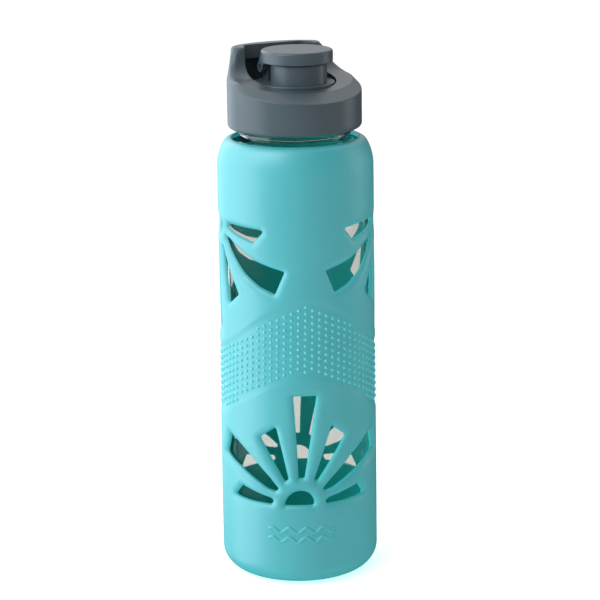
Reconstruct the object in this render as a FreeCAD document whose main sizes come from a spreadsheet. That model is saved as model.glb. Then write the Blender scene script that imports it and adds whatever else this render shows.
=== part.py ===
import FreeCAD, Part
import math
import os
import Sketcher

# Glass water bottle in a silicone sleeve, with a screw lid, drinking spout and flip cap.
# The origin is the centre of the base and +Z is up. The lid faces -Y; its carrying bar and
# the flip cap's hinge are towards +Y. All lengths are in millimetres and angles in degrees.

doc = FreeCAD.newDocument("water_bottle")

# ---------------------------------------------------------------- driving dimensions
CELLS = {
    # sleeve
    "sleeve_radius": 38.8,
    "sleeve_top_radius": 38.0,
    "taper_start": 41.0,
    "shoulder_start": 204.0,
    "sleeve_wall": 2.1,
    "sleeve_floor": 2.4,
    "sleeve_height": 218.1,
    "sleeve_mouth": 30.4,
    "sleeve_rim_round": 5.5,
    "sleeve_base_round": 10.7,
    "fit_gap": 0.3,
    # windows cut in the sleeve: half-suns with rays, two upright and two inverted
    "lower_sun_level": 42.5,
    "upper_sun_level": 179.0,
    "sun_radius": 7.5,
    "sun_heading": -26.0,
    "twist_angle": 8.0,
    "twist_start": 48.0,
    "twist_run": 70.0,
    # glass bottle
    "glass_wall": 2.3,
    "glass_floor": 4.0,
    "glass_base_round": 7.0,
    "neck_radius": 26.7,
    "neck_wall": 2.6,
    "neck_foot": 1.7,
    "bore_foot": 3.0,
    "neck_top": 233.1,
    "lip_round": 0.8,
    "bead_level": 220.7,
    "bead_half": 1.5,
    "bead_round": 1.7,
    # two-start thread
    "thread_lead": 8.0,
    "thread_depth": 1.3,
    "thread_root": 1.7,
    "thread_crest": 0.9,
    "thread_seat": 0.4,
    "neck_thread_level": 224.4,
    "neck_thread_turns": 0.85,
    "cap_thread_turns": 0.6,
    # lid shell, levels measured from the lid's lower edge
    "lid_base": 222.5,
    "lid_radius": 32.5,
    "lid_wall": 1.8,
    "lid_edge_round": 2.4,
    "crease_level": 20.9,
    "crease_slope": 0.17,
    "crease_round": 1.2,
    "hood_top": 37.9,
    "hood_top_middle": 21.0,
    "hood_top_half_width": 23.0,
    "hood_top_half_depth": 10.0,
    "hood_top_round": 1.4,
    "scoop_middle": 1.5,
    "scoop_low": 23.9,
    "scoop_slope": 0.165,
    "scoop_round": 14.0,
    "scoop_rim_round": 3.0,
    "well_radius": 20.3,
    "well_floor": 18.0,
    "well_straight": 9.0,
    "bar_face": 23.6,
    "bar_height": 6.7,
    "pocket_half_width": 15.0,
    "pocket_back": 29.4,
    # inner cap
    "cap_radius": 30.4,
    "cap_wall": 1.9,
    "cap_foot": 0.8,
    "cap_plate_low": 13.0,
    "cap_plate_thick": 2.0,
    "cap_shoulder_width": 3.2,
    "cap_shoulder_drop": 1.7,
    "platform_radius": 19.8,
    "platform_top": 22.2,
    "platform_thick": 2.0,
    "spout_radius": 13.5,
    "spout_bore": 11.0,
    "spout_middle": -5.2,
    "spout_top": 31.8,
    # flip cap and hinge
    "disc_radius": 17.3,
    "disc_middle": -3.2,
    "disc_low": 32.1,
    "disc_top": 38.1,
    "disc_top_round": 1.3,
    "disc_low_round": 0.5,
    "hinge_back": 10.3,
    "hinge_level": 29.0,
    "knuckle_radius": 2.8,
    "boss_half_width": 10.5,
    "arm_inside": 10.9,
    "arm_outside": 13.4,
    "arm_front": 3.5,
    "arm_rear": 8.0,
    "arm_under_top": 1.6,
    "pin_radius": 1.2,
    "pin_half_length": 13.2,
    "pin_fixed_play": 0.03,
    "pin_running_play": 0.08,
    # seals
    "gasket_inner": 24.4,
    "gasket_outer": 28.0,
    "gasket_height": 1.8,
    "plug_top_radius": 10.6,
    "plug_low_radius": 8.4,
    "plug_depth": 2.2,
    "plug_hollow": 6.5,
}

sheet = doc.addObject("Spreadsheet::Sheet", "dims")
for row, (alias, number) in enumerate(CELLS.items(), start=1):
    sheet.set("A%d" % row, alias)
    sheet.set("B%d" % row, str(number))
    sheet.setAlias("B%d" % row, alias)
doc.recompute()


# ---------------------------------------------------------------- helpers
def size(text):
    """The number that an expression over the sheet's cells gives."""
    return float(sheet.evalExpression(text))


def arc_between(start, end, radius):
    """Minor arc of a signed radius: positive turns left on the way from start to end."""
    chord = end - start
    half = chord.Length / 2.0
    reach = math.sqrt(max(radius * radius - half * half, 0.0))
    left = FreeCAD.Vector(-chord.y, chord.x, 0).normalize()
    centre = (start + end) * 0.5 + left * math.copysign(reach, radius)
    first, last = (start, end) if radius > 0 else (end, start)
    angles = [math.atan2(p.y - centre.y, p.x - centre.x) for p in (first, last)]
    circle = Part.Circle(centre, FreeCAD.Vector(0, 0, 1), abs(radius))
    return Part.ArcOfCircle(circle, angles[0], angles[1])


def draw_outline(sketch, steps):
    """Draw a closed outline whose corners are bound to the sheet.

    A step is (across, up), or (across, up, radius) where the edge to the next corner is an
    arc; a leading minus sign on the radius makes the arc turn right.
    """
    corners = [FreeCAD.Vector(size(step[0]), size(step[1]), 0) for step in steps]
    starts, ends = [], []
    for place, step in enumerate(steps):
        here, ahead = corners[place], corners[(place + 1) % len(corners)]
        if len(step) == 3:
            radius = size(step[2])
            edge = sketch.addGeometry(arc_between(here, ahead, radius), False)
            starts.append((edge, 1 if radius > 0 else 2))
            ends.append((edge, 2 if radius > 0 else 1))
            radius_text = step[2].lstrip("-")
            rule = sketch.addConstraint(Sketcher.Constraint("Radius", edge, abs(radius)))
            sketch.setExpression("Constraints[%d]" % rule, radius_text)
        else:
            edge = sketch.addGeometry(Part.LineSegment(here, ahead), False)
            starts.append((edge, 1))
            ends.append((edge, 2))
    for place, step in enumerate(steps):
        following = starts[(place + 1) % len(steps)]
        sketch.addConstraint(Sketcher.Constraint("Coincident", *ends[place], *following))
        for kind, text in (("DistanceX", step[0]), ("DistanceY", step[1])):
            gap = Sketcher.Constraint(kind, -1, 1, *starts[place], size(text))
            rule = sketch.addConstraint(gap)
            sketch.setExpression("Constraints[%d]" % rule, text)


def body_plane(body, role):
    """One of a body's own origin planes."""
    return [item for item in body.Origin.OriginFeatures if item.Role == role][0]


def upright_sketch(body, name, steps):
    """A sketch of a radial half-section: across is the radius and up is the height."""
    sketch = body.newObject("Sketcher::SketchObject", name)
    sketch.AttachmentSupport = [(body_plane(body, "XZ_Plane"), "")]
    sketch.MapMode = "FlatFace"
    draw_outline(sketch, steps)
    return sketch


def turned_body(name, steps):
    """A body turned about the vertical axis from its half-section."""
    body = doc.addObject("PartDesign::Body", name)
    sketch = upright_sketch(body, name + "_section", steps)
    turned = body.newObject("PartDesign::Revolution", name + "_turned")
    turned.Profile = sketch
    turned.ReferenceAxis = (sketch, ["V_Axis"])
    turned.Angle = 360.0
    doc.recompute()
    return body


def add_thread(body, name, wall, outward, level, turns):
    """Two helical ridges on a round wall, half a turn apart, reaching in or out."""
    sign = "" if outward else "-"
    seat = "-" if outward else "+"
    for start, side in enumerate(("", "-")):
        root = "%s(%s %s dims.thread_seat)" % (side, wall, seat)
        crest = "%s(%s + (%s1) * dims.thread_depth)" % (side, wall, sign)
        ridge = upright_sketch(body, "%s_%d" % (name, start), [
            (root, level + " - dims.thread_root / 2"),
            (crest, level + " - dims.thread_crest / 2"),
            (crest, level + " + dims.thread_crest / 2"),
            (root, level + " + dims.thread_root / 2"),
        ])
        helix = body.newObject("PartDesign::AdditiveHelix", "%s_ridge_%d" % (name, start))
        helix.Profile = ridge
        helix.ReferenceAxis = (ridge, ["V_Axis"])
        helix.Mode = 1
        helix.setExpression("Pitch", "dims.thread_lead")
        helix.setExpression("Turns", turns)
        doc.recompute()


def part_cylinder(name, radius, height, place, along_x=False):
    """A Part cylinder bound to the sheet; place holds the expressions of its start point."""
    item = doc.addObject("Part::Cylinder", name)
    if along_x:
        item.Placement.Rotation = FreeCAD.Rotation(FreeCAD.Vector(0, 1, 0), 90)
    item.setExpression("Radius", radius)
    item.setExpression("Height", height)
    for axis, text in zip("xyz", place):
        item.setExpression("Placement.Base." + axis, text)
    return item


def part_box(name, low, high):
    """A Part box between two corners given as expressions."""
    item = doc.addObject("Part::Box", name)
    for key, axis, first, last in zip(("Length", "Width", "Height"), "xyz", low, high):
        item.setExpression(key, "(%s) - (%s)" % (last, first))
        item.setExpression("Placement.Base." + axis, first)
    return item


def joined(name, items):
    item = doc.addObject("Part::MultiFuse", name)
    item.Shapes = items
    return item


def cut_from(name, base, tools):
    """Cut the tools away one after another; the last cut carries the name."""
    for tool in tools:
        last = tool is tools[-1]
        item = doc.addObject("Part::Cut", name if last else name + "_less_" + tool.Name)
        item.Base = base
        item.Tool = tool
        base = item
    return base


def rounded(name, base, picks):
    """Round the edges that a test picks: picks is a list of (test, radius expression)."""
    doc.recompute()
    edges = []
    for number, edge in enumerate(base.Shape.Edges, start=1):
        for test, radius in picks:
            if test(edge):
                edges.append((number, size(radius), size(radius)))
                break
    item = doc.addObject("Part::Fillet", name)
    item.Base = base
    item.Edges = edges
    return item


def ring_at(level):
    """Test for the edges that lie level at a given height."""
    def test(edge):
        box = edge.BoundBox
        return box.ZLength < 0.01 and abs(box.ZMin - size(level)) < 0.01
    return test


def elliptic(edge):
    """Test for a part of the tilted ring where the hood meets the skirt."""
    return isinstance(edge.Curve, Part.Ellipse)


def steep(edge):
    """Test for the two rims where the scoop's round climbs through the hood's sides."""
    box = edge.BoundBox
    return box.XLength > 10.0 and box.ZLength > 10.0


# ---------------------------------------------------------------- glass bottle
# The shoulders of sleeve and glass are one pair of tangent arcs, moved in by an inset.
RIM_LEVEL = "(dims.sleeve_height - dims.sleeve_rim_round)"
SHOULDER_RUN = "(dims.sleeve_top_radius - dims.sleeve_mouth)"
SHOULDER_RISE = "(%s - dims.shoulder_start)" % RIM_LEVEL
SHOULDER_ROUND = (
    "((%s ^ 2 + %s ^ 2 - dims.sleeve_rim_round ^ 2) / (2 * (%s - dims.sleeve_rim_round)))"
    % (SHOULDER_RUN, SHOULDER_RISE, SHOULDER_RUN))
SHOULDER_AXIS = "(dims.sleeve_top_radius - %s)" % SHOULDER_ROUND
ARC_GAP = "(%s - dims.sleeve_rim_round)" % SHOULDER_ROUND


def shoulder(inset, inward):
    """The shoulder's outline between the wall and the level rim, as three steps."""
    big = "(%s - %s)" % (SHOULDER_ROUND, inset)
    small = "(dims.sleeve_rim_round - %s)" % inset
    meeting = (
        "%s + %s * (dims.sleeve_mouth - %s) / %s" % (SHOULDER_AXIS, big, SHOULDER_AXIS, ARC_GAP),
        "dims.shoulder_start + %s * %s / %s" % (big, SHOULDER_RISE, ARC_GAP))
    wall = ("dims.sleeve_top_radius - " + inset, "dims.shoulder_start")
    rim = ("dims.sleeve_mouth", "dims.sleeve_height - " + inset)
    if inward:
        return [wall + (big,), meeting + (small,), rim]
    return [rim + ("-" + small,), meeting + ("-" + big,), wall]


GLASS = "(dims.sleeve_top_radius - dims.sleeve_wall - dims.fit_gap)"
GLASS_LOW = "(dims.sleeve_floor + dims.fit_gap)"
GLASS_INSET = "(dims.sleeve_wall + dims.fit_gap)"
INSIDE = "(%s - dims.glass_wall)" % GLASS
INSIDE_LOW = "(%s + dims.glass_floor)" % GLASS_LOW
INSIDE_ROUND = "(dims.glass_base_round - dims.glass_wall)"
INSIDE_INSET = "(%s + dims.glass_wall)" % GLASS_INSET
FOOT_LEVEL = "(dims.sleeve_height - %s)" % GLASS_INSET
BORE = "(dims.neck_radius - dims.neck_wall)"
BORE_LEVEL = "(dims.sleeve_height - %s)" % INSIDE_INSET

glass_bottle = turned_body("glass_bottle", [
    ("0", GLASS_LOW),
    (GLASS + " - dims.glass_base_round", GLASS_LOW, "dims.glass_base_round"),
    (GLASS, GLASS_LOW + " + dims.glass_base_round"),
] + shoulder(GLASS_INSET, True) + [
    ("dims.neck_radius + dims.neck_foot", FOOT_LEVEL, "-dims.neck_foot"),
    ("dims.neck_radius", FOOT_LEVEL + " + dims.neck_foot"),
    ("dims.neck_radius", "dims.bead_level - dims.bead_half", "dims.bead_round"),
    ("dims.neck_radius", "dims.bead_level + dims.bead_half"),
    ("dims.neck_radius", "dims.neck_top - dims.lip_round", "dims.lip_round"),
    ("dims.neck_radius - dims.lip_round", "dims.neck_top"),
    (BORE + " + dims.lip_round", "dims.neck_top", "dims.lip_round"),
    (BORE, "dims.neck_top - dims.lip_round"),
    (BORE, BORE_LEVEL + " + dims.bore_foot", "dims.bore_foot"),
    (BORE + " + dims.bore_foot", BORE_LEVEL),
] + shoulder(INSIDE_INSET, False) + [
    (INSIDE, INSIDE_LOW + " + " + INSIDE_ROUND, "-" + INSIDE_ROUND),
    (INSIDE + " - " + INSIDE_ROUND, INSIDE_LOW),
    ("0", INSIDE_LOW),
])
add_thread(glass_bottle, "neck_thread", "dims.neck_radius", True,
           "dims.neck_thread_level", "dims.neck_thread_turns")


# ---------------------------------------------------------------- silicone sleeve
SLEEVE_INSIDE = "(dims.sleeve_top_radius - dims.sleeve_wall)"
INNER_BASE_ROUND = "(dims.glass_base_round + dims.fit_gap)"

sleeve_blank = turned_body("sleeve_blank", [
    ("0", "0"),
    ("dims.sleeve_radius - dims.sleeve_base_round", "0", "dims.sleeve_base_round"),
    ("dims.sleeve_radius", "dims.sleeve_base_round"),
    ("dims.sleeve_radius", "dims.taper_start"),
] + shoulder("0", True) + shoulder("dims.sleeve_wall", False) + [
    (SLEEVE_INSIDE, "dims.sleeve_floor + " + INNER_BASE_ROUND, "-" + INNER_BASE_ROUND),
    (SLEEVE_INSIDE + " - " + INNER_BASE_ROUND, "dims.sleeve_floor"),
    ("0", "dims.sleeve_floor"),
])

# A window's corners are (arc length from the sun's centre line, height over its base line).
CENTRE_RAY = [(-1.5, 14.0), (1.5, 14.0), (5.9, 55.3), (-5.9, 55.3)]
MID_RAY = [(6.5, 13.1), (8.2, 12.2), (22.7, 33.8), (14.3, 39.6)]
WIDE_RAY = [(11.1, 8.1), (12.4, 6.9), (16.5, 7.8), (25.0, 11.9), (35.0, 16.4), (49.3, 20.3),
            (44.4, 31.4), (36.0, 28.3), (27.0, 22.8), (16.0, 13.3)]
LOW_RAY = [(14.2, 0.1), (24.0, 0.1), (34.0, 0.4), (38.6, 0.9), (32.8, 6.9), (24.0, 5.1),
           (14.4, 3.0), (13.3, 1.7)]
HALF_SUN_CORNERS = 9


def half_sun():
    steps = [math.pi * i / (HALF_SUN_CORNERS - 1) for i in range(HALF_SUN_CORNERS)]
    radius = size("dims.sun_radius")
    return [(radius * math.cos(angle), radius * math.sin(angle)) for angle in steps]


def mirrored(window):
    return [(-across, up) for across, up in reversed(window)]


def twist_at(level):
    """How far the pattern leans round the sleeve at a height, in degrees."""
    run = (level - size("dims.twist_start")) / size("dims.twist_run")
    return size("dims.twist_angle") * (1.0 - math.exp(-run))


def window_cutter(window, base_line, upward, heading):
    """A wedge that widens from the axis and cuts one window through the sleeve's wall."""
    radius = size("dims.sleeve_top_radius")
    corners = []
    for across, up in window:
        level = base_line + up * upward
        angle = heading + twist_at(level) + math.degrees(across * upward / radius)
        corners.append((angle, level))
    middle = sum(angle for angle, level in corners) / len(corners)
    rings = []
    for reach in (radius - 6.0, radius + 6.0):
        points = [
            FreeCAD.Vector(reach * math.tan(math.radians(angle - middle)), -reach, level)
            for angle, level in corners
        ]
        rings.append(Part.makePolygon(points + points[:1]))
    cutter = Part.makeLoft(rings, True, True)
    cutter.rotate(FreeCAD.Vector(), FreeCAD.Vector(0, 0, 1), middle)
    return cutter


sun_windows = [half_sun(), CENTRE_RAY]
for ray in (MID_RAY, WIDE_RAY, LOW_RAY):
    sun_windows += [ray, mirrored(ray)]
cutters = []
for quarter in range(4):
    upright = quarter % 2 == 0
    base_line = size("dims.lower_sun_level" if upright else "dims.upper_sun_level")
    heading = size("dims.sun_heading") + 90.0 * quarter
    for window in sun_windows:
        cutters.append(window_cutter(window, base_line, 1 if upright else -1, heading))
sleeve_windows = doc.addObject("Part::Feature", "sleeve_windows")
sleeve_windows.Shape = Part.makeCompound(cutters)
silicone_sleeve = cut_from("silicone_sleeve", sleeve_blank, [sleeve_windows])


# ---------------------------------------------------------------- lid shell
def lid(level):
    """A level measured from the lid's lower edge, as a level over the base."""
    return "(dims.lid_base + %s)" % level


def oval(half_width, half_depth, middle, level, slope=0.0):
    """A closed oval seen from above, in two halves, on a plane that rises to the back."""
    matrix = FreeCAD.Matrix(
        half_width, 0, 0, 0,
        0, half_depth, 0, middle,
        0, slope * half_depth, 1, level + slope * middle,
        0, 0, 0, 1,
    )
    up = FreeCAD.Vector(0, 0, 1)
    halves = [Part.makeCircle(1.0, FreeCAD.Vector(), up, first, first + 180) for first in (-90, 90)]
    return Part.Wire([half.transformGeometry(matrix).Edges[0] for half in halves])


def side_prism(name, steps, start, length):
    """A prism along X from an outline of (Y, Z) steps."""
    sketch = doc.addObject("Sketcher::SketchObject", name + "_side")
    sketch.Placement.Rotation = FreeCAD.Rotation(
        FreeCAD.Vector(0, 1, 0), FreeCAD.Vector(0, 0, 1), FreeCAD.Vector(1, 0, 0), "ZXY")
    draw_outline(sketch, steps)
    sketch.setExpression("Placement.Base.x", start)
    prism = doc.addObject("Part::Extrusion", name)
    prism.Base = sketch
    prism.DirMode = "Custom"
    prism.Dir = FreeCAD.Vector(1, 0, 0)
    prism.Solid = True
    prism.setExpression("LengthFwd", length)
    return prism


def hood(name, inset, foot):
    """A round skirt up to the crease plane, and the scooped ruled hood that rises from it."""
    slope = size("dims.crease_slope")
    radius = "(dims.lid_radius - %s)" % inset
    crease = lid("(dims.crease_level - %s)" % inset)
    skirt_blank = part_cylinder(name + "_skirt_blank", radius, "dims.hood_top",
                                ("0", "0", lid(foot)))
    over = doc.addObject("Part::Box", name + "_over_crease")
    over.Placement.Rotation = FreeCAD.Rotation(
        FreeCAD.Vector(1, 0, 0), math.degrees(math.atan(slope)))
    for key in ("Length", "Width", "Height"):
        over.setExpression(key, "4 * dims.lid_radius")
    for axis, text in zip("xyz", ("-2 * dims.lid_radius", "-2 * dims.lid_radius",
                                  crease + " - 2 * dims.lid_radius * dims.crease_slope")):
        over.setExpression("Placement.Base." + axis, text)
    skirt = cut_from(name + "_skirt", skirt_blank, [over])
    slant = doc.addObject("Part::Feature", name + "_slant")
    amount = size(inset)
    slant.Shape = Part.makeLoft([
        oval(size(radius), size(radius), 0.0, size(crease), slope),
        oval(size("dims.hood_top_half_width") - amount, size("dims.hood_top_half_depth") - amount,
             size("dims.hood_top_middle"), size(lid("dims.hood_top")) - amount),
    ], True, True)
    low = lid("(dims.scoop_low - %s)" % inset)
    front = "-2 * dims.lid_radius"
    back = "dims.scoop_middle + dims.scoop_round + " + inset
    above = lid("2 * dims.hood_top")
    scoop = side_prism(name + "_scoop", [
        (front, low + " - dims.scoop_slope * (dims.scoop_middle + 2 * dims.lid_radius)"),
        ("dims.scoop_middle", low, "dims.scoop_round + " + inset),
        (back, lid("(dims.scoop_low + dims.scoop_round)")),
        (back, above),
        (front, above),
    ], front, "4 * dims.lid_radius")
    return joined(name, [skirt, cut_from(name + "_scooped", slant, [scoop])])


def well_prism(name, spread, floor):
    """The well in the hood, round in front and square at the carrying bar."""
    sketch = doc.addObject("Sketcher::SketchObject", name + "_plan")
    side = "(dims.well_radius + %s)" % spread
    back = "(dims.bar_face + %s)" % spread
    corner = "(3 + %s)" % spread
    shoulder = "(%s - 3.7)" % side
    sweep = "(24 + %s)" % spread
    draw_outline(sketch, [
        ("-" + side, "0", side),
        ("0", "-" + side, side),
        (side, "0"),
        (side, "dims.well_straight", sweep),
        (shoulder, back + " - " + corner, corner),
        (shoulder + " - " + corner, back),
        ("-(%s - %s)" % (shoulder, corner), back, corner),
        ("-" + shoulder, back + " - " + corner, sweep),
        ("-" + side, "dims.well_straight"),
    ])
    sketch.setExpression("Placement.Base.z", floor)
    prism = doc.addObject("Part::Extrusion", name)
    prism.Base = sketch
    prism.DirMode = "Normal"
    prism.Solid = True
    prism.setExpression("LengthFwd", "dims.hood_top")
    return prism


hood_outer = hood("hood_outer", "0", "0")
hood_rounded = rounded("hood_rounded", hood_outer, [
    (ring_at("dims.lid_base"), "dims.lid_edge_round"),
    (elliptic, "dims.crease_round"),
    (ring_at(lid("dims.hood_top")), "dims.hood_top_round"),
    (steep, "dims.scoop_rim_round"),
])
hood_inner = hood("hood_inner", "dims.lid_wall", "-5")
well_walls = well_prism("well_walls", "dims.lid_wall",
                        lid("dims.well_floor - dims.lid_wall + 0.2"))
bar_block = part_box(
    "bar_block",
    ("-(dims.pocket_half_width + dims.lid_wall)", "dims.well_straight",
     lid("dims.well_floor - dims.lid_wall + 0.2")),
    ("dims.pocket_half_width + dims.lid_wall", "dims.lid_radius", lid("dims.hood_top")))
hood_hollow = cut_from("hood_hollow", hood_inner, [well_walls, bar_block])
well = well_prism("well", "0", lid("dims.well_floor"))
platform_hole = part_cylinder("platform_hole", "dims.well_radius", "dims.hood_top",
                              ("0", "0", "dims.lid_base"))
pocket_box = part_box(
    "pocket_box",
    ("-dims.pocket_half_width", "dims.bar_face - 5", lid("dims.well_floor")),
    ("dims.pocket_half_width", "dims.pocket_back", lid("dims.hood_top - dims.bar_height")))
finger_pocket = doc.addObject("Part::Common", "finger_pocket")
finger_pocket.Base = pocket_box
finger_pocket.Tool = hood_inner
lid_shell = cut_from("lid_shell", hood_rounded,
                     [hood_hollow, well, platform_hole, finger_pocket])


# ---------------------------------------------------------------- inner cap
CAP_LOW = lid("dims.cap_foot")
CAP_BORE = "(dims.cap_radius - dims.cap_wall)"
PLATE_LOW = lid("dims.cap_plate_low")
PLATE_TOP = lid("(dims.cap_plate_low + dims.cap_plate_thick)")
HUB_BORE = "(dims.platform_radius - dims.platform_thick)"
PLATFORM_LOW = lid("(dims.platform_top - dims.platform_thick)")
PLATFORM = lid("dims.platform_top")

cap_liner = turned_body("cap_liner", [
    (CAP_BORE, CAP_LOW),
    ("dims.cap_radius", CAP_LOW),
    ("dims.cap_radius", PLATE_TOP + " - dims.cap_shoulder_drop"),
    ("dims.cap_radius - dims.cap_shoulder_width", PLATE_TOP),
    ("dims.platform_radius", PLATE_TOP),
    ("dims.platform_radius", PLATFORM + " - dims.lip_round", "dims.lip_round"),
    ("dims.platform_radius - dims.lip_round", PLATFORM),
    ("0", PLATFORM),
    ("0", PLATFORM_LOW),
    (HUB_BORE, PLATFORM_LOW),
    (HUB_BORE, PLATE_LOW),
    (CAP_BORE, PLATE_LOW),
])
add_thread(cap_liner, "cap_thread", CAP_BORE, False,
           "dims.neck_thread_level + dims.thread_lead / 4", "dims.cap_thread_turns")

spout_blank = part_cylinder("spout_blank", "dims.spout_radius",
                            "dims.spout_top - dims.platform_top + dims.platform_thick / 2",
                            ("0", "dims.spout_middle", PLATFORM + " - dims.platform_thick / 2"))
spout = rounded("spout", spout_blank, [
    (ring_at(lid("dims.spout_top")), "dims.lip_round"),
])
spout_bore = part_cylinder("spout_bore", "dims.spout_bore", "dims.hood_top",
                           ("0", "dims.spout_middle", PLATE_LOW))
boss_knuckle = part_cylinder("boss_knuckle", "dims.knuckle_radius", "2 * dims.boss_half_width",
                             ("-dims.boss_half_width", "dims.hinge_back", lid("dims.hinge_level")),
                             along_x=True)
boss_stand = part_box(
    "boss_stand",
    ("-dims.boss_half_width", "dims.hinge_back - dims.knuckle_radius",
     PLATFORM + " - dims.platform_thick / 2"),
    ("dims.boss_half_width", "dims.hinge_back + dims.knuckle_radius", lid("dims.hinge_level")))
boss_bore = part_cylinder("boss_bore", "dims.pin_radius + dims.pin_fixed_play",
                          "2 * dims.pin_half_length",
                          ("-dims.pin_half_length", "dims.hinge_back", lid("dims.hinge_level")),
                          along_x=True)
cap_solid = joined("cap_solid", [cap_liner, spout, boss_knuckle, boss_stand])
inner_cap = cut_from("inner_cap", cap_solid, [spout_bore, boss_bore])


# ---------------------------------------------------------------- flip cap
def arm(name, inside):
    """One hinge arm: a knuckle round the pin and a web up to the disc's rear edge."""
    back = "dims.hinge_back + dims.knuckle_radius"
    top = lid("(dims.disc_top - dims.arm_under_top)")
    pin_level = lid("dims.hinge_level")
    return side_prism(name, [
        ("dims.arm_front", lid("(dims.disc_low + 1)")),
        ("dims.hinge_back - dims.knuckle_radius", pin_level, "dims.knuckle_radius"),
        ("dims.hinge_back", pin_level + " - dims.knuckle_radius", "dims.knuckle_radius"),
        (back, pin_level),
        ("dims.arm_rear", top),
        ("dims.arm_front", top),
    ], inside, "dims.arm_outside - dims.arm_inside")


disc_blank = part_cylinder("disc_blank", "dims.disc_radius", "dims.disc_top - dims.disc_low",
                           ("0", "dims.disc_middle", lid("dims.disc_low")))
disc = rounded("disc", disc_blank, [
    (ring_at(lid("dims.disc_top")), "dims.disc_top_round"),
    (ring_at(lid("dims.disc_low")), "dims.disc_low_round"),
])
left_arm = arm("left_arm", "-dims.arm_outside")
right_arm = arm("right_arm", "dims.arm_inside")
arm_bore = part_cylinder("arm_bore", "dims.pin_radius + dims.pin_running_play",
                         "4 * dims.pin_half_length",
                         ("-2 * dims.pin_half_length", "dims.hinge_back", lid("dims.hinge_level")),
                         along_x=True)
flip_solid = joined("flip_solid", [disc, left_arm, right_arm])
flip_cap = cut_from("flip_cap", flip_solid, [arm_bore])

hinge_pin = part_cylinder("hinge_pin", "dims.pin_radius", "2 * dims.pin_half_length",
                          ("-dims.pin_half_length", "dims.hinge_back", lid("dims.hinge_level")),
                          along_x=True)


# ---------------------------------------------------------------- seals
GASKET_LOW = "(dims.neck_top + dims.fit_gap)"
rim_gasket = turned_body("rim_gasket", [
    ("dims.gasket_inner", GASKET_LOW),
    ("dims.gasket_outer", GASKET_LOW),
    ("dims.gasket_outer", GASKET_LOW + " + dims.gasket_height"),
    ("dims.gasket_inner", GASKET_LOW + " + dims.gasket_height"),
])
PLUG_TOP = lid("dims.disc_low - 0.05")
PLUG_LOW = "(%s - dims.plug_depth)" % PLUG_TOP
spout_plug = turned_body("spout_plug", [
    ("0", PLUG_LOW + " + dims.plug_depth / 2"),
    ("dims.plug_hollow", PLUG_LOW),
    ("dims.plug_low_radius", PLUG_LOW),
    ("dims.plug_top_radius", PLUG_TOP),
    ("0", PLUG_TOP),
])
spout_plug.setExpression("Placement.Base.y", "dims.spout_middle")


# ---------------------------------------------------------------- checks and output
PARTS = [glass_bottle, silicone_sleeve, lid_shell, inner_cap, rim_gasket, flip_cap,
         spout_plug, hinge_pin]

for item in PARTS:
    item.Label = item.Name
doc.recompute()

failed = [item.Name for item in doc.Objects if {"Invalid", "Error"} & set(item.State)]
if failed:
    raise RuntimeError("features not built: " + ", ".join(failed))
for item in PARTS:
    if item.Shape.isNull() or not item.Shape.isValid():
        raise RuntimeError(item.Label + " has no valid shape")
    if len(item.Shape.Solids) != 1:
        raise RuntimeError(item.Label + " is not one solid")

os.makedirs("parts", exist_ok=True)
for item in PARTS:
    item.Shape.exportStep("parts/%s.step" % item.Label)
    box = item.Shape.BoundBox
    print("%-16s %9.0f mm3  z %6.1f to %6.1f  x %5.1f to %5.1f  y %5.1f to %5.1f" % (
        item.Label, item.Shape.Volume, box.ZMin, box.ZMax, box.XMin, box.XMax, box.YMin, box.YMax))
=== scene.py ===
"""Looks of a glass water bottle with a silicone sleeve and a flip-top lid.

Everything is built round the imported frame. Lengths are in millimetres, apart from those
inside the materials, which are in metres.
"""
import math

import bpy
import numpy as np
from mathutils import Matrix, Vector


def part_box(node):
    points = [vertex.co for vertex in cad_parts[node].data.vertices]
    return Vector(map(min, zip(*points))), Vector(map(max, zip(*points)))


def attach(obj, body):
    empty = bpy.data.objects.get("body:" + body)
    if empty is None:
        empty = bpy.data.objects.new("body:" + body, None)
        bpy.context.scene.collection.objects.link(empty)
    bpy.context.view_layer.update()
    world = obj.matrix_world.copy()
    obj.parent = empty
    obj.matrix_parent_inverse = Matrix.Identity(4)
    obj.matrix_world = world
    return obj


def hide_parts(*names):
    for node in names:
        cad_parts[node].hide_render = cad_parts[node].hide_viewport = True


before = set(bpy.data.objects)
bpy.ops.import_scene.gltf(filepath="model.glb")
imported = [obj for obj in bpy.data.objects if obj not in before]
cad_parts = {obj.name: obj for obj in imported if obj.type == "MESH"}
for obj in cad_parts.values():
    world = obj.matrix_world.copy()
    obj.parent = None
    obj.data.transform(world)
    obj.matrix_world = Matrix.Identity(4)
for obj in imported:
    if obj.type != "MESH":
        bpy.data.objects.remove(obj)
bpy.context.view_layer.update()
MM = 0.001


def span(node):
    """A node's box in millimetres, as two lists."""
    low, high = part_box(node)
    return [v / MM for v in low], [v / MM for v in high]


# ---------------------------------------------------------------- places from the frame
SLEEVE_HIGH = span("silicone_sleeve")[1]
FOOT_RADIUS = SLEEVE_HIGH[0]
SLEEVE_TOP = SLEEVE_HIGH[2]
GLASS_CLEARANCE = 0.3
INNER_RADIUS = span("glass_bottle")[1][0] + GLASS_CLEARANCE
SIDE_RADIUS = 38.0
TAPER_LOW, TAPER_HIGH = 41.0, 204.0


def radius_at(level):
    """The sleeve's outer radius: a foot cylinder, then a slight taper to the shoulder."""
    share = np.clip((TAPER_HIGH - level) / (TAPER_HIGH - TAPER_LOW), 0.0, 1.0)
    return SIDE_RADIUS + (FOOT_RADIUS - SIDE_RADIUS) * share


# ---------------------------------------------------------------- camera
CAMERA_AZIMUTH = -26.0
CAMERA_HEIGHT_ANGLE = 13.957
CAMERA_DISTANCE = 1100.0
CAMERA_LENS = 134.03
CAMERA_ROLL = 0.74
SENSOR_WIDTH = 36.0
AXIS_LEVEL = 142.73
AIM_LEVEL = 135.88
AIM_RIGHT = 1.43


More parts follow.
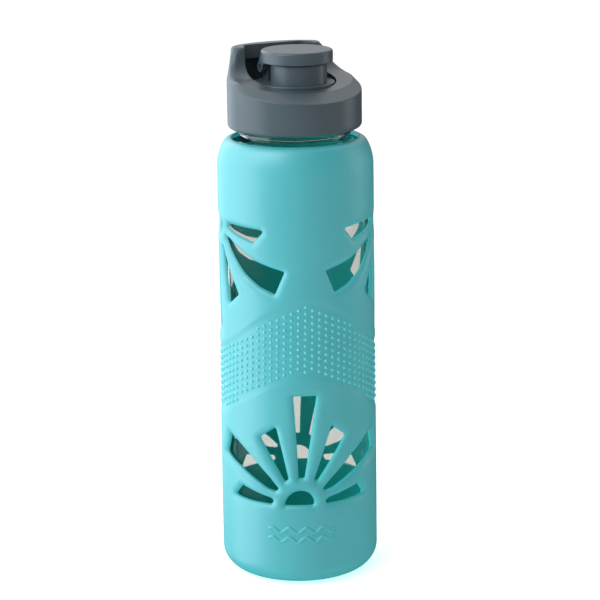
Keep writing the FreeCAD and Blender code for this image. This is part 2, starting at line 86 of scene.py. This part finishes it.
def bearing(azimuth, height_angle):
    """Unit vector away from the object, by angles round the camera's side and above the floor."""
    turn, rise = math.radians(CAMERA_AZIMUTH + azimuth), math.radians(height_angle)
    return Vector((
        math.sin(turn) * math.cos(rise), -math.cos(turn) * math.cos(rise), math.sin(rise)))


def make_camera():
    data = bpy.data.cameras.new("camera")
    camera = bpy.data.objects.new("camera", data)
    bpy.context.scene.collection.objects.link(camera)
    bpy.context.scene.camera = camera
    data.lens = CAMERA_LENS
    data.sensor_width = SENSOR_WIDTH
    data.clip_start = 0.05
    data.clip_end = 20.0
    place = Vector((0.0, 0.0, AXIS_LEVEL)) + bearing(0.0, CAMERA_HEIGHT_ANGLE) * CAMERA_DISTANCE
    aim = Vector((0.0, 0.0, AIM_LEVEL)) + bearing(90.0, 0.0) * AIM_RIGHT
    look = (aim - place).to_track_quat("-Z", "Y").to_matrix().to_4x4()
    roll = Matrix.Rotation(math.radians(-CAMERA_ROLL), 4, "Z")
    camera.matrix_world = Matrix.Translation(place * MM) @ look @ roll


# ---------------------------------------------------------------- mesh helpers
def add_mesh(name, points, faces, material, smooth=True):
    """A mesh object from points in millimetres."""
    mesh = bpy.data.meshes.new(name)
    mesh.from_pydata([tuple(p) for p in np.asarray(points, float) * MM], [], faces)
    mesh.validate()
    mesh.update()
    if smooth:
        mesh.polygons.foreach_set("use_smooth", [True] * len(mesh.polygons))
    piece = bpy.data.objects.new(name, mesh)
    bpy.context.scene.collection.objects.link(piece)
    mesh.materials.append(material)
    return piece


def smooth_step(low, high, value):
    share = np.clip((value - low) / (high - low), 0.0, 1.0)
    return share * share * (3.0 - 2.0 * share)


# ---------------------------------------------------------------- materials
NOISE_LOW, NOISE_HIGH = 0.3, 0.7
WHITE = (1.0, 1.0, 1.0, 1.0)
SILICONE_TINT = (0.26, 0.90, 0.86, 1.0)
GLASS_TINT = (0.95, 0.96, 0.95, 1.0)
GLASS_COLOUR = (0.64, 0.64, 0.61, 1.0)
# The index of refraction is low inside the sleeve, so that the windows show what lies behind
# them instead of the room, and rises to that of glass at the bare neck. Heights in metres.
SLEEVED_IOR, BARE_IOR = 1.13, 1.5
IOR_LOW_LEVEL, IOR_HIGH_LEVEL = 0.212, 0.217


class Nodes:
    """A short way to write a node tree."""

    def __init__(self, name, world=False):
        self.owner = bpy.data.worlds.new(name) if world else bpy.data.materials.new(name)
        self.owner.use_nodes = True
        self.tree = self.owner.node_tree
        self.tree.nodes.clear()
        self.output = self.add("ShaderNodeOutputWorld" if world else "ShaderNodeOutputMaterial")

    def add(self, kind, inputs=None, **settings):
        node = self.tree.nodes.new(kind)
        for key, value in settings.items():
            setattr(node, key, value)
        for key, value in (inputs or {}).items():
            if isinstance(value, bpy.types.NodeSocket):
                self.tree.links.new(value, node.inputs[key])
            else:
                node.inputs[key].default_value = value
        return node

    def noise(self, scale, detail, stretch=None):
        place = self.add("ShaderNodeTexCoord").outputs["Object"]
        if stretch:
            place = self.add("ShaderNodeMapping", {"Vector": place, "Scale": stretch}).outputs[0]
        return self.add("ShaderNodeTexNoise", {
            "Vector": place, "Scale": scale, "Detail": detail}).outputs["Fac"]

    def height(self):
        place = self.add("ShaderNodeTexCoord").outputs["Object"]
        return self.add("ShaderNodeSeparateXYZ", {"Vector": place}).outputs["Z"]

    def ramp(self, value, low, high, out_low, out_high):
        return self.add("ShaderNodeMapRange", {
            "Value": value, "From Min": low, "From Max": high,
            "To Min": out_low, "To Max": out_high}).outputs[0]

    def spread(self, noise, low, high):
        """A noise's usual range stretched to run from low to high."""
        return self.ramp(noise, NOISE_LOW, NOISE_HIGH, low, high)

    def mix(self, share, first, second):
        node = self.add("ShaderNodeMix", data_type="RGBA")
        self.tree.links.new(share, node.inputs[0])
        for place, value in ((6, first), (7, second)):
            if isinstance(value, bpy.types.NodeSocket):
                self.tree.links.new(value, node.inputs[place])
            else:
                node.inputs[place].default_value = value
        return node.outputs[2]

    def bump(self, height, distance, strength):
        return self.add("ShaderNodeBump", {
            "Height": height, "Distance": distance, "Strength": strength}).outputs[0]

    def bounced(self, depth):
        """1 for rays that have bounced at least once in the way that the depth counts."""
        count = self.add("ShaderNodeLightPath").outputs[depth]
        return self.add("ShaderNodeMath", {0: count, 1: 0.5}, operation="GREATER_THAN").outputs[0]

    def either(self, share, first, second):
        """The number first where share is 0, and second where it is 1."""
        return self.add("ShaderNodeMix", {0: share, 2: first, 3: second}).outputs[0]

    def lit_through(self, shader, tint):
        """The shader as seen, clear but tinted for lamps and scattered light."""
        path = self.add("ShaderNodeLightPath").outputs
        clear = self.add("ShaderNodeBsdfTransparent", {"Color": tint}).outputs[0]
        for output in ("Is Shadow Ray", "Is Diffuse Ray"):
            shader = self.add("ShaderNodeMixShader", {
                0: path[output], 1: shader, 2: clear}).outputs[0]
        return self.show(shader)

    def show(self, shader):
        self.tree.links.new(shader, self.output.inputs["Surface"])
        return self.owner

    def finish(self, inputs):
        return self.show(self.add("ShaderNodeBsdfPrincipled", inputs).outputs[0])


def srgb(red, green, blue):
    """A colour given as 0 to 255 display values, as linear RGBA."""
    def linear(value):
        value /= 255.0
        return value / 12.92 if value <= 0.04045 else ((value + 0.055) / 1.055) ** 2.4
    return (linear(red), linear(green), linear(blue), 1.0)


def silicone_material(name, dark, light):
    """Soft pigmented rubber, a little translucent and with a broad sheen."""
    make = Nodes(name)
    cloud = make.noise(22.0, 4.0)
    grain = make.noise(2600.0, 2.0)
    colour = make.mix(make.spread(cloud, 0.0, 1.0), dark, light)
    rubber = make.add("ShaderNodeBsdfPrincipled", {
        "Base Color": colour,
        "Roughness": make.spread(grain, 0.40, 0.50),
        "Specular IOR Level": 1.0,
        "Coat Weight": 0.4,
        "Coat Roughness": 0.5,
        "Subsurface Weight": 0.3,
        "Subsurface Radius": (0.25, 1.0, 1.0),
        "Subsurface Scale": 0.003,
        "Normal": make.bump(grain, 0.00002, 0.25),
    }).outputs[0]
    return make.lit_through(rubber, SILICONE_TINT)


def plastic_material():
    make = Nodes("lid_plastic")
    cloud = make.noise(30.0, 4.0)
    grain = make.noise(3800.0, 2.0)
    colour = make.mix(make.spread(cloud, 0.0, 1.0), srgb(65, 77, 82), srgb(71, 83, 88))
    return make.finish({
        "Base Color": colour,
        "Roughness": make.spread(grain, 0.30, 0.42),
        "Specular IOR Level": 0.5,
        "Normal": make.bump(grain, 0.00001, 0.3),
    })


def glass_material():
    """Clear glass that lets lamps and scattered light through to what it holds."""
    make = Nodes("clear_glass")
    ripple = make.noise(28.0, 2.0, stretch=(1.0, 1.0, 0.35))
    glass = make.add("ShaderNodeBsdfPrincipled", {
        "Base Color": GLASS_COLOUR,
        "Roughness": 0.0,
        "IOR": make.ramp(make.height(), IOR_LOW_LEVEL, IOR_HIGH_LEVEL, SLEEVED_IOR, BARE_IOR),
        "Transmission Weight": 1.0,
        "Normal": make.bump(ripple, 0.0004, 0.12),
    }).outputs[0]
    return make.lit_through(glass, GLASS_TINT)


def seal_material():
    make = Nodes("seal_silicone")
    grain = make.noise(1800.0, 2.0)
    return make.finish({
        "Base Color": srgb(214, 216, 214),
        "Roughness": make.spread(grain, 0.45, 0.6),
        "Subsurface Weight": 0.15,
        "Subsurface Scale": 0.002,
    })


def steel_material():
    make = Nodes("pin_steel")
    brushed = make.noise(900.0, 3.0, stretch=(0.05, 1.0, 1.0))
    return make.finish({
        "Base Color": srgb(190, 192, 194),
        "Metallic": 1.0,
        "Roughness": make.spread(brushed, 0.22, 0.4),
    })


SILICONE = silicone_material("sleeve_silicone", srgb(54, 164, 169), srgb(60, 170, 175))
# The dots use the same silicone in a lighter colour. The lighter colour is a painted highlight on
# the raised dots, not a colour of their own.
HIGHLIGHTED_DOT_SILICONE = silicone_material("dot_silicone_painted_highlight", srgb(74, 180, 185), srgb(80, 186, 191))
PLASTIC = plastic_material()
GLASS = glass_material()
SEAL = seal_material()
STEEL = steel_material()


def dress(node, material):
    """Give a CAD node its finished material."""
    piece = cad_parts[node]
    if not piece.material_slots:
        piece.data.materials.append(material)
    for slot in piece.material_slots:
        slot.material = material


# ---------------------------------------------------------------- sleeve pattern
# A sun is a half disc with rays. The outlines give arc length from the sun's centre line
# against height over its base line. Suns that stand and suns that hang take turns round the
# sleeve, and all of them lean with the twist.
LOWER_SUN = 41.9
UPPER_SUN = 179.0
SUN_HEADING = math.radians(-26.0)
TWIST = math.radians(7.2)
TWIST_START = 44.0
TWIST_RUN = 48.0
SUN_RADIUS = 7.5
SUN_SIDES = 16
SUN_HALF_WIDTH, SUN_LOW, SUN_HIGH = 56.0, -8.0, 64.0
FAR_FROM_WINDOWS = 60.0
CORNER_ROUND = 0.8

CENTRE_RAY = [(-1.5, 14.0), (1.5, 14.0), (5.9, 55.3), (-5.9, 55.3)]
MID_RAY = [(6.5, 13.1), (8.2, 12.2), (22.7, 33.8), (14.3, 39.6)]
WIDE_RAY = [(11.1, 8.1), (12.4, 6.9), (16.5, 7.8), (25.0, 11.9), (35.0, 16.4), (49.3, 20.3),
            (44.4, 31.4), (36.0, 28.3), (27.0, 22.8), (16.0, 13.3)]
LOW_RAY = [(14.2, 0.1), (24.0, 0.1), (34.0, 0.4), (38.6, 0.9), (32.8, 6.9), (24.0, 5.1),
           (14.4, 3.0), (13.3, 1.7)]


def twist_at(level):
    return TWIST * (1.0 - np.exp(-(level - TWIST_START) / TWIST_RUN))


def half_sun():
    turns = np.linspace(0.0, math.pi, SUN_SIDES + 1)
    return [(SUN_RADIUS * math.cos(t), SUN_RADIUS * math.sin(t)) for t in turns]


def mirrored(outline):
    return [(-across, up) for across, up in reversed(outline)]


def inset(outline, amount):
    """The outline moved in by an amount, with mitred corners."""
    points = np.array(outline, float)
    ahead = np.roll(points, -1, axis=0) - points
    ahead /= np.linalg.norm(ahead, axis=1)[:, None]
    inward = np.stack([-ahead[:, 1], ahead[:, 0]], axis=1)
    before = np.roll(inward, 1, axis=0)
    return points + amount * (inward + before) / (1.0 + (inward * before).sum(axis=1))[:, None]


def polygon_distance(across, up, outline):
    """Signed distance to an outline: negative inside."""
    nearest = np.full(across.shape, 1e9)
    inside = np.zeros(across.shape, bool)
    for (x0, y0), (x1, y1) in zip(outline, np.roll(outline, -1, axis=0)):
        run_x, run_y = x1 - x0, y1 - y0
        share = np.clip(
            ((across - x0) * run_x + (up - y0) * run_y) / (run_x ** 2 + run_y ** 2), 0.0, 1.0)
        gap = np.hypot(across - x0 - share * run_x, up - y0 - share * run_y)
        nearest = np.minimum(nearest, gap)
        crosses = (y0 > up) != (y1 > up)
        if run_y:
            inside ^= crosses & (across < x0 + (up - y0) * run_x / run_y)
    return np.where(inside, -nearest, nearest)


SUN_WINDOWS = [half_sun(), CENTRE_RAY]
for ray in (MID_RAY, WIDE_RAY, LOW_RAY):
    SUN_WINDOWS += [ray, mirrored(ray)]
SUN_CORES = [inset(outline, CORNER_ROUND) for outline in SUN_WINDOWS]


def window_distance(turn, level):
    """Signed distance from points of the sleeve to the nearest window's edge."""
    nearest = np.full(np.shape(turn), FAR_FROM_WINDOWS)
    for quarter in range(4):
        upward = 1.0 if quarter % 2 == 0 else -1.0
        base_line = LOWER_SUN if upward > 0 else UPPER_SUN
        up = (level - base_line) * upward
        centre = SUN_HEADING + quarter * math.pi / 2.0 + twist_at(level)
        around = (turn - centre + math.pi) % (2.0 * math.pi) - math.pi
        across = around * SIDE_RADIUS * upward
        near = (np.abs(across) < SUN_HALF_WIDTH) & (up > SUN_LOW) & (up < SUN_HIGH)
        if not near.any():
            continue
        best = nearest[near]
        for core in SUN_CORES:
            gap = polygon_distance(across[near], up[near], core) - CORNER_ROUND
            best = np.minimum(best, gap)
        nearest[near] = best
    return nearest


# ---------------------------------------------------------------- dotted band
DOT_COLUMNS = 70
DOT_PITCH = 3.19
DOT_TOP = 141.6
DOT_ROWS = 13
DOT_MARGIN = 2.2
BAND_DEPTH = 0.55
BAND_SOFTNESS = 1.6
BAND_TOP_MEAN, BAND_TOP_SWING = 129.9, 13.9
BAND_LOW_MEAN, BAND_LOW_SWING = 94.6, 12.0


def band_edges(turn, level):
    """The band's lower and upper edge at each point's bearing."""
    wave = np.cos(2.0 * (turn - SUN_HEADING - twist_at(level)))
    return BAND_LOW_MEAN + BAND_LOW_SWING * wave, BAND_TOP_MEAN + BAND_TOP_SWING * wave


def surface_drop(turn, level, to_window):
    """How far the outer skin lies under the full radius, in the band and at window lips."""
    low, high = band_edges(turn, level)
    band = (smooth_step(-BAND_SOFTNESS, BAND_SOFTNESS, level - low)
            * smooth_step(-BAND_SOFTNESS, BAND_SOFTNESS, high - level))
    lip = np.clip((LIP_REACH - to_window) / (LIP_REACH - EDGE_ROUND), 0.0, 1.0) ** 2
    return BAND_DEPTH * band + LIP_DROP * lip


# ---------------------------------------------------------------- sleeve mesh
# EDGE_ROUND is how far from a window its rolled edge starts, and EDGE_DEPTH how deep it rolls.
COLUMNS = 300
EDGE_ROUND = 1.5
EDGE_DEPTH = 1.1
LIP_REACH = 3.6
LIP_DROP = 0.45
LIP_SLOPE = 2.0 * LIP_DROP / (LIP_REACH - EDGE_ROUND)
INNER_EDGE = 0.35
EDGE_STEPS = 5
FINE_ROW = 0.85
COARSE_ROW = 1.3
ZONES = [(39.5, 100.5, FINE_ROW), (100.5, 121.0, COARSE_ROW), (121.0, 182.0, FINE_ROW)]
SNAP_GAP = 0.3
SNAP_PASSES = 3
BASE_ROUND = 10.7
FOOT_RING = (26.6, 25.8)
HOLLOW_EDGE = 25.0
HOLLOW_HEIGHT = 0.7
MIDDLE_RING = 12.0
SHOULDER_BIG = 24.16
SHOULDER_SMALL = 5.5
MOUTH_RADIUS = 30.4
SHOULDER_WALL = 2.1
SLEEVE_FLOOR = 2.4
INNER_ROUND = 7.3


def zone_levels():
    levels = []
    for low, high, step in ZONES:
        count = round((high - low) / step)
        levels += list(np.linspace(low, high, count, endpoint=False))
    return np.array(levels + [ZONES[-1][1]])


def on_sleeve(turn, level, radius):
    return np.stack([np.sin(turn) * radius, -np.cos(turn) * radius,
                     np.broadcast_to(level, np.shape(turn))], axis=-1)


class SleeveMesh:
    """Points and faces of the sleeve, built sheet by sheet."""

    def __init__(self):
        self.points, self.faces = [], []

    def point(self, turn, level, radius):
        self.points.append((math.sin(turn) * radius, -math.cos(turn) * radius, level))
        return len(self.points) - 1

    def ring(self, level, radius):
        return [self.point(2.0 * math.pi * i / COLUMNS, level, radius) for i in range(COLUMNS)]

    def skin(self, first, second):
        """Quads between two rings, the second above the first on an outward-facing skin."""
        for i in range(COLUMNS):
            j = (i + 1) % COLUMNS
            self.faces.append((first[i], first[j], second[j], second[i]))


def window_gradient(turn, level):
    """Unit direction away from the nearest window, along the arc and up."""
    step = 0.05
    along = (window_distance(turn + step / SIDE_RADIUS, level)
             - window_distance(turn - step / SIDE_RADIUS, level))
    upward = window_distance(turn, level + step) - window_distance(turn, level - step)
    length = np.maximum(np.hypot(along, upward), 1e-9)
    return along / length, upward / length


def clipped_grid():
    """Grid points of the window zone, its cells cut along the line EDGE_ROUND from each window.

    Points near that line are first moved onto it. Returns the points' bearings, levels and
    distances from the windows, the kept faces, and the number of rows.
    """
    levels = zone_levels()
    rows = len(levels)
    turn = np.repeat((2.0 * np.pi * np.arange(COLUMNS) / COLUMNS)[None, :], rows, axis=0)
    level = np.repeat(levels[:, None], COLUMNS, axis=1)
    gap = window_distance(turn, level) - EDGE_ROUND
    close = np.abs(gap) < SNAP_GAP
    close[0], close[-1] = False, False
    for _ in range(SNAP_PASSES):
        along, upward = window_gradient(turn[close], level[close])
        turn[close] -= gap[close] * along / SIDE_RADIUS
        level[close] -= gap[close] * upward
        gap[close] = window_distance(turn[close], level[close]) - EDGE_ROUND
    gap[close] = 0.0
    turns, heights, gaps = [list(a.ravel()) for a in (turn, level, gap)]
    crossings = {}

    def crossing(a, b):
        key = (min(a, b), max(a, b))
        if key not in crossings:
            share = gaps[a] / (gaps[a] - gaps[b])
            swing = (turns[b] - turns[a] + math.pi) % (2.0 * math.pi) - math.pi
            turns.append(turns[a] + swing * share)
            heights.append(heights[a] + (heights[b] - heights[a]) * share)
            gaps.append(0.0)
            crossings[key] = len(turns) - 1
        return crossings[key]

    faces = []
    for row in range(rows - 1):
        for column in range(COLUMNS):
            after = (column + 1) % COLUMNS
            cell = (row * COLUMNS + column, row * COLUMNS + after,
                    (row + 1) * COLUMNS + after, (row + 1) * COLUMNS + column)
            signs = [gaps[k] for k in cell]
            if min(signs) >= 0.0 and max(signs) > 0.0:
                faces.append(cell)
                continue
            if max(signs) <= 0.0:
                continue
            corners = []
            for a, b in zip(cell, cell[1:] + cell[:1]):
                if gaps[a] >= 0.0:
                    corners.append(a)
                if gaps[a] * gaps[b] < 0.0:
                    corners.append(crossing(a, b))
            faces.append(tuple(corners))
    return np.array(turns), np.array(heights), np.array(gaps) + EDGE_ROUND, faces, rows


def boundary_edges(faces):
    """Directed edges that only one face has."""
    seen = {}
    for face in faces:
        for a, b in zip(face, face[1:] + face[:1]):
            seen[(a, b)] = True
    return [(a, b) for a, b in seen if (b, a) not in seen]


def build_sleeve():
    """The sleeve's outer and inner skins, the rolled edges between them, and both ends."""
    turn, level, gap, faces, rows = clipped_grid()
    count = len(turn)
    drop = surface_drop(turn, level, gap)
    mesh = SleeveMesh()
    mesh.points = list(on_sleeve(turn, level, radius_at(level) - drop))
    mesh.points += list(on_sleeve(turn, level, np.full(count, INNER_RADIUS)))
    mesh.faces = list(faces) + [tuple(k + count for k in reversed(face)) for face in faces]
    bottom_row = set(range(COLUMNS))
    top_row = set(range((rows - 1) * COLUMNS, rows * COLUMNS))
    edges = [(a, b) for a, b in boundary_edges(faces)
             if not (a in bottom_row and b in bottom_row) and not (a in top_row and b in top_row)]
    line = sorted({k for edge in edges for k in edge})
    index = np.array(line)
    along, upward = window_gradient(turn[index], level[index])
    outer = radius_at(level[index]) - drop[index]
    wall = outer - INNER_RADIUS
    rings = [{k: k for k in line}]
    profile = []
    for t in np.linspace(0.0, math.pi / 2.0, EDGE_STEPS + 1)[1:]:
        toward = EDGE_ROUND * math.sin(t)
        profile.append((toward, LIP_SLOPE * toward + EDGE_DEPTH * (1.0 - math.cos(t))))
    profile += [(EDGE_ROUND, wall - INNER_EDGE), (EDGE_ROUND - INNER_EDGE, wall)]
    for toward, depth in profile:
        moved_turn = turn[index] - along * toward / SIDE_RADIUS
        moved_level = level[index] - upward * toward
        start = len(mesh.points)
        mesh.points += list(on_sleeve(moved_turn, moved_level, outer - depth))
        rings.append({k: start + i for i, k in enumerate(line)})
    rings.append({k: k + count for k in line})
    for first, second in zip(rings, rings[1:]):
        for a, b in edges:
            mesh.faces.append((first[b], first[a], second[a], second[b]))
    close_base(mesh, count)
    close_shoulder(mesh, count, rows)
    return mesh


def close_base(mesh, inner_start):
    """The plain foot below the windows, its hollow underside and its floor inside."""
    base_low = ZONES[0][0]
    rings = [mesh.ring(z, FOOT_RADIUS) for z in np.linspace(base_low, BASE_ROUND, 8)[1:]]
    for t in np.linspace(0.0, math.pi / 2.0, 12)[1:]:
        rings.append(mesh.ring(BASE_ROUND * (1.0 - math.sin(t)),
                               FOOT_RADIUS - BASE_ROUND * (1.0 - math.cos(t))))
    rings += [mesh.ring(0.0, r) for r in FOOT_RING]
    rings += [mesh.ring(HOLLOW_HEIGHT, r) for r in (HOLLOW_EDGE, MIDDLE_RING)]
    above = list(range(COLUMNS))
    for ring in rings:
        mesh.skin(ring, above)
        above = ring
    middle = mesh.point(0.0, HOLLOW_HEIGHT, 0.0)
    for i in range(COLUMNS):
        mesh.faces.append((middle, above[(i + 1) % COLUMNS], above[i]))
    rings = [mesh.ring(z, INNER_RADIUS)
             for z in np.linspace(base_low, SLEEVE_FLOOR + INNER_ROUND, 8)[1:]]
    for t in np.linspace(0.0, math.pi / 2.0, 7)[1:]:
        rings.append(mesh.ring(SLEEVE_FLOOR + INNER_ROUND * (1.0 - math.sin(t)),
                               INNER_RADIUS - INNER_ROUND * (1.0 - math.cos(t))))
    rings.append(mesh.ring(SLEEVE_FLOOR, MIDDLE_RING))
    above = [k + inner_start for k in range(COLUMNS)]
    for ring in rings:
        mesh.skin(above, ring)
        above = ring
    middle = mesh.point(0.0, SLEEVE_FLOOR, 0.0)
    for i in range(COLUMNS):
        mesh.faces.append((middle, above[i], above[(i + 1) % COLUMNS]))


def close_shoulder(mesh, inner_start, rows):
    """The plain top: a wide arc, a tight one that meets it, and a half-round mouth."""
    big = (SIDE_RADIUS - SHOULDER_BIG, TAPER_HIGH)
    small = (MOUTH_RADIUS, SLEEVE_TOP - SHOULDER_SMALL)
    meet = math.atan2(small[1] - big[1], small[0] - big[0])
    lip = SHOULDER_WALL / 2.0
    end = math.acos(lip / (SHOULDER_SMALL - lip))

    def arc(centre, radius, turns):
        return [mesh.ring(centre[1] + radius * math.sin(t), centre[0] + radius * math.cos(t))
                for t in turns]

    outer = list(range((rows - 1) * COLUMNS, rows * COLUMNS))
    inner = [k + inner_start for k in outer]
    levels = np.linspace(ZONES[-1][1], TAPER_HIGH, 12)[1:]
    rings = [mesh.ring(z, radius_at(z)) for z in levels]
    rings += arc(big, SHOULDER_BIG, np.linspace(0.0, meet, 9)[1:])
    rings += arc(small, SHOULDER_SMALL, np.linspace(meet, end, 8)[1:])
    middle = (small[0] + (SHOULDER_SMALL - lip) * math.cos(end),
              small[1] + (SHOULDER_SMALL - lip) * math.sin(end))
    rings += arc(middle, lip, end + np.linspace(0.0, math.pi, 9)[1:-1])
    rings += arc(small, SHOULDER_SMALL - SHOULDER_WALL, np.linspace(end, meet, 6))
    rings += arc(big, SHOULDER_BIG - SHOULDER_WALL, np.linspace(meet, 0.0, 7)[1:])
    rings += [mesh.ring(z, INNER_RADIUS) for z in levels[-2::-3]]
    rings.append(inner)
    below = outer
    for ring in rings:
        mesh.skin(below, ring)
        below = ring


def make_sleeve():
    mesh = build_sleeve()
    piece = add_mesh("sleeve", mesh.points, mesh.faces, SILICONE)
    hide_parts("silicone_sleeve")
    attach(piece, "bottle")


# ---------------------------------------------------------------- dots
# A dot's profile gives its reach from the middle and its height over the band, ring by ring.
DOT_SIDES = 10
DOT_PROFILE = [(0.94, -0.06), (0.80, 0.24), (0.56, 0.52), (0.28, 0.68)]
DOT_CREST = 0.74
FIRST_SHORT_COLUMN = 8


def dot_places():
    """Bearing and level of each dot: columns that step down from the band's two peaks."""
    places = []
    per_peak = DOT_COLUMNS // 2
    for column in range(DOT_COLUMNS):
        from_front = 2.0 * math.pi * column / DOT_COLUMNS
        from_peak = min(column % per_peak, per_peak - column % per_peak)
        skipped = 1 if from_peak >= FIRST_SHORT_COLUMN else 0
        for row in range(skipped, DOT_ROWS):
            level = DOT_TOP - DOT_PITCH * (row + 0.5 * from_peak)
            turn = SUN_HEADING + float(twist_at(level)) + from_front
            if level > band_edges(turn, level)[0] + DOT_MARGIN:
                places.append((turn, level))
    return places


def make_dots():
    points, faces = [], []
    for turn, level in dot_places():
        start = len(points)
        ground = float(radius_at(level)) - BAND_DEPTH
        for reach, height in DOT_PROFILE:
            for side in range(DOT_SIDES):
                spin = 2.0 * math.pi * side / DOT_SIDES
                radius = ground + height
                here = turn + reach * math.cos(spin) / SIDE_RADIUS
                points.append((math.sin(here) * radius, -math.cos(here) * radius,
                               level + reach * math.sin(spin)))
        crest = ground + DOT_CREST
        points.append((math.sin(turn) * crest, -math.cos(turn) * crest, level))
        for ring in range(len(DOT_PROFILE) - 1):
            first = start + ring * DOT_SIDES
            for side in range(DOT_SIDES):
                after = (side + 1) % DOT_SIDES
                faces.append((first + side, first + after,
                              first + DOT_SIDES + after, first + DOT_SIDES + side))
        last = start + (len(DOT_PROFILE) - 1) * DOT_SIDES
        for side in range(DOT_SIDES):
            faces.append((last + side, last + (side + 1) % DOT_SIDES, len(points) - 1))
    # The dots' lighter material is a painted highlight.
    piece = add_mesh("sleeve_dots", points, faces, HIGHLIGHTED_DOT_SILICONE)
    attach(piece, "bottle")


# ---------------------------------------------------------------- relief on the foot
WAVE_LEVELS = (24.6, 29.4)
WAVE_FROM, WAVE_TO = -16.0, 18.0
WAVE_LENGTH = 8.5
WAVE_SWING = 1.3
WAVE_STEPS = 150
STROKE_SINK = 0.06
STROKE_END = 0.9
# Across a stroke: the place from its middle line and the height over the sleeve.
STROKE_PROFILE = [(-0.95, -STROKE_SINK), (-0.78, 0.30), (-0.42, 0.55), (0.0, 0.62),
                  (0.42, 0.55), (0.78, 0.30), (0.95, -STROKE_SINK)]


def make_relief():
    """Two raised wavy lines under the lower sun, round at their ends."""
    points, faces = [], []
    for base in WAVE_LEVELS:
        start = len(points)
        for along in np.linspace(WAVE_FROM, WAVE_TO, WAVE_STEPS):
            from_end = min(along - WAVE_FROM, WAVE_TO - along)
            narrow = math.sqrt(1.0 - (1.0 - min(from_end / STROKE_END, 1.0)) ** 2)
            phase = 2.0 * math.pi * (along - WAVE_FROM) / WAVE_LENGTH
            slope = WAVE_SWING * 2.0 * math.pi / WAVE_LENGTH * math.cos(phase)
            lean = math.hypot(1.0, slope)
            for across, height in STROKE_PROFILE:
                aside = along - across * narrow * slope / lean
                level = base + WAVE_SWING * math.sin(phase) + across * narrow / lean
                turn = SUN_HEADING + aside / FOOT_RADIUS
                radius = FOOT_RADIUS + (height + STROKE_SINK) * narrow - STROKE_SINK
                points.append((math.sin(turn) * radius, -math.cos(turn) * radius, level))
        wide = len(STROKE_PROFILE)
        for step in range(WAVE_STEPS - 1):
            for side in range(wide - 1):
                k = start + step * wide + side
                faces.append((k, k + wide, k + wide + 1, k + 1))
    piece = add_mesh("sleeve_relief", points, faces, SILICONE)
    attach(piece, "bottle")


# ---------------------------------------------------------------- stage and light
FLOOR_HALF = 2500.0
FLOOR_GLOW = 0.55
WORLD_LEVEL = 0.5
MIRRORED_FRONT = 0.04
MIRRORED_BACK = 1.5
MIRRORED_FROM, MIRRORED_TO = 0.5, 0.95
COOL = (0.78, 0.91, 1.0)
PALE = (0.87, 0.92, 1.0)


def make_stage():
    """A plain pale floor that glossy rays pass through, so that nothing mirrors it."""
    make = Nodes("floor")
    speckle = make.noise(9.0, 3.0)
    colour = make.mix(make.spread(speckle, 0.0, 1.0),
                      (0.90, 0.90, 0.90, 1.0), (0.92, 0.92, 0.92, 1.0))
    seen = make.add("ShaderNodeBsdfPrincipled", {
        "Base Color": colour, "Roughness": 0.9,
        "Emission Strength": FLOOR_GLOW, "Emission Color": WHITE}).outputs[0]
    clear = make.add("ShaderNodeBsdfTransparent").outputs[0]
    material = make.show(make.add("ShaderNodeMixShader", {
        0: make.bounced("Glossy Depth"), 1: seen, 2: clear}).outputs[0])
    corners = [(-FLOOR_HALF, -FLOOR_HALF, 0.0), (FLOOR_HALF, -FLOOR_HALF, 0.0),
               (FLOOR_HALF, FLOOR_HALF, 0.0), (-FLOOR_HALF, FLOOR_HALF, 0.0)]
    floor = add_mesh("floor", corners, [(0, 1, 2, 3)], material, smooth=False)
    floor.visible_shadow = False


def area_light(name, azimuth, height_angle, distance, width, height, power, tint=WHITE[:3]):
    """A soft light aimed at the bottle's middle, placed by its bearing round the camera."""
    data = bpy.data.lights.new(name, "AREA")
    data.shape = "RECTANGLE"
    data.size, data.size_y = width * MM, height * MM
    data.energy = power
    data.color = tint
    lamp = bpy.data.objects.new(name, data)
    bpy.context.scene.collection.objects.link(lamp)
    back = bearing(azimuth, height_angle)
    place = Vector((0.0, 0.0, AXIS_LEVEL)) + back * distance
    lamp.matrix_world = (Matrix.Translation(place * MM)
                         @ back.to_track_quat("Z", "Y").to_matrix().to_4x4())


def make_world():
    """White for the eye and dimmer as light. What is mirrored is pale above and behind only."""
    make = Nodes("studio", world=True)
    make.owner.cycles.sampling_method = "NONE"
    direction = make.add("ShaderNodeTexCoord").outputs["Generated"]
    facing = make.add("ShaderNodeVectorMath", {
        0: direction, 1: bearing(-165.0, 55.0)}, operation="DOT_PRODUCT")
    mirrored = make.ramp(facing.outputs["Value"], MIRRORED_FROM, MIRRORED_TO,
                         MIRRORED_FRONT, MIRRORED_BACK)
    level = make.either(make.bounced("Diffuse Depth"), 1.0, WORLD_LEVEL)
    level = make.either(make.bounced("Glossy Depth"), level, mirrored)
    backdrop = make.add("ShaderNodeBackground", {"Color": WHITE, "Strength": level})
    bpy.context.scene.world = make.show(backdrop.outputs[0])


def make_light():
    make_world()
    area_light("key_left", -84.0, 3.0, 900.0, 1000.0, 1600.0, 11.0, PALE)
    area_light("back_left", -138.0, 10.0, 900.0, 650.0, 1200.0, 4.5, COOL)
    area_light("top_left", -45.0, 46.0, 900.0, 600.0, 500.0, 4.2, COOL)
    area_light("fill_right", 105.0, 12.0, 1100.0, 400.0, 900.0, 1.5)
    view = bpy.context.scene.view_settings
    view.view_transform = "Standard"
    view.look = "None"


# ---------------------------------------------------------------- build
make_camera()
make_light()
make_stage()
make_sleeve()
make_dots()
make_relief()
dress("glass_bottle", GLASS)
for node in ("lid_shell", "inner_cap", "flip_cap"):
    dress(node, PLASTIC)
for node in ("rim_gasket", "spout_plug"):
    dress(node, SEAL)
dress("hinge_pin", STEEL)
